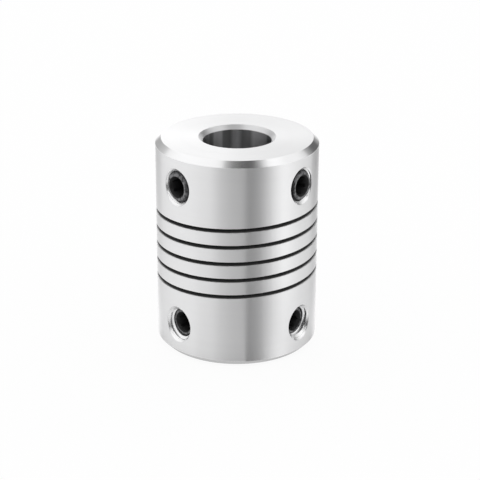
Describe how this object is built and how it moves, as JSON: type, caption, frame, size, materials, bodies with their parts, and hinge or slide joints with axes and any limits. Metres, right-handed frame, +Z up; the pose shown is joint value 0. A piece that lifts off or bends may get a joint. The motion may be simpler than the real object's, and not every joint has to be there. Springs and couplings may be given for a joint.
{
  "type": "flexible shaft coupling",
  "caption": "Helical-beam flexible shaft coupling: a turned aluminium cylinder with a spiral slot, a bore in each end and black set screws that clamp the shafts.",
  "frame": {"origin": "centre of the bottom end face, the end with the smaller bore, on which the coupling stands", "axes": "+Z up along the coupling's own axis to the end with the larger bore; the four set screws face the front, -Y, two to its left and two to its right"},
  "size_m": [0.019, 0.019, 0.025],
  "materials": {
    "turned_aluminium": "satin",
    "blackened_steel": "satin"
  },
  "bodies": {
    "coupling": {"coupling_body": "turned_aluminium"},
    "upper_left_screw": {"set_screw_upper_left": "blackened_steel"},
    "upper_right_screw": {"set_screw_upper_right": "blackened_steel"},
    "lower_left_screw": {"set_screw_lower_left": "blackened_steel"},
    "lower_right_screw": {"set_screw_lower_right": "blackened_steel"}
  },
  "joints": [
    {"name": "upper_left_screw_travel", "type": "slide", "parent": "coupling", "child": "upper_left_screw", "axis": [0.7254, 0.6884, 0], "range_m": [-0.0021, 0.0014]},
    {"name": "upper_right_screw_travel", "type": "slide", "parent": "coupling", "child": "upper_right_screw", "axis": [-0.788, 0.6157, 0], "range_m": [-0.0021, 0.0014]},
    {"name": "lower_left_screw_travel", "type": "slide", "parent": "coupling", "child": "lower_left_screw", "axis": [0.7254, 0.6884, 0], "range_m": [-0.0021, 0.0021]},
    {"name": "lower_right_screw_travel", "type": "slide", "parent": "coupling", "child": "lower_right_screw", "axis": [-0.788, 0.6157, 0], "range_m": [-0.0021, 0.0021]}
  ]
}
